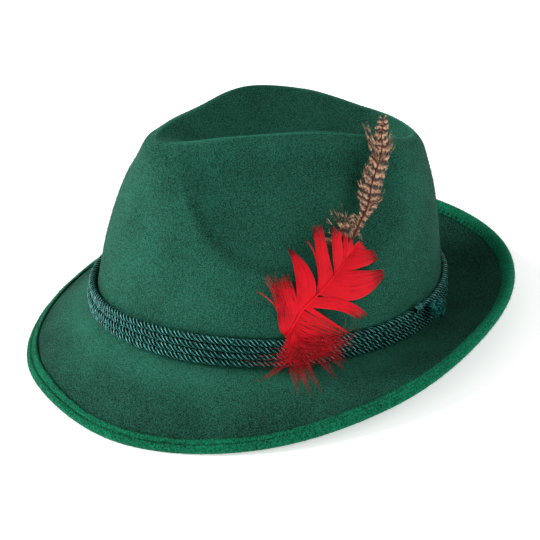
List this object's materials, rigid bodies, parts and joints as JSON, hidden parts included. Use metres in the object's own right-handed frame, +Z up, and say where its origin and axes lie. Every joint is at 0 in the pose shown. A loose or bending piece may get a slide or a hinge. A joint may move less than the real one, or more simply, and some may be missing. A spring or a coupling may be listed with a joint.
{
  "type": "tyrolean hat",
  "caption": "Green felt hat with a creased and pinched crown, a snap brim turned up behind, a bound edge, a band of twisted cords and a feather sprig.",
  "frame": {"origin": "centre of the hat's box, on the surface that it rests on", "axes": "+Z up from the surface, -Y the front of the hat, +X the wearer's left, where the feathers are"},
  "size_m": [0.2636, 0.2808, 0.1343],
  "materials": {
    "crown_felt": "mottled brushed wool felt",
    "binding_felt": "brighter fuzzy felt strip",
    "band_cord": "satin twisted cord",
    "knot_cord": "satin twisted cord, brighter",
    "red_barbs": "dyed feather barbs",
    "speckled_barbs": "tan feather with dark chevrons"
  },
  "bodies": {
    "root": {"hat_body": "crown_felt", "brim_binding": "binding_felt", "band_cord_1": "band_cord", "band_cord_2": "band_cord", "band_cord_3": "band_cord", "band_cord_4": "band_cord", "band_knot": "knot_cord", "cord_end": "band_cord", "red_feather": "red_barbs", "speckled_feather": "speckled_barbs", "speckled_tuft": "speckled_barbs"}
  },
  "joints": []
}
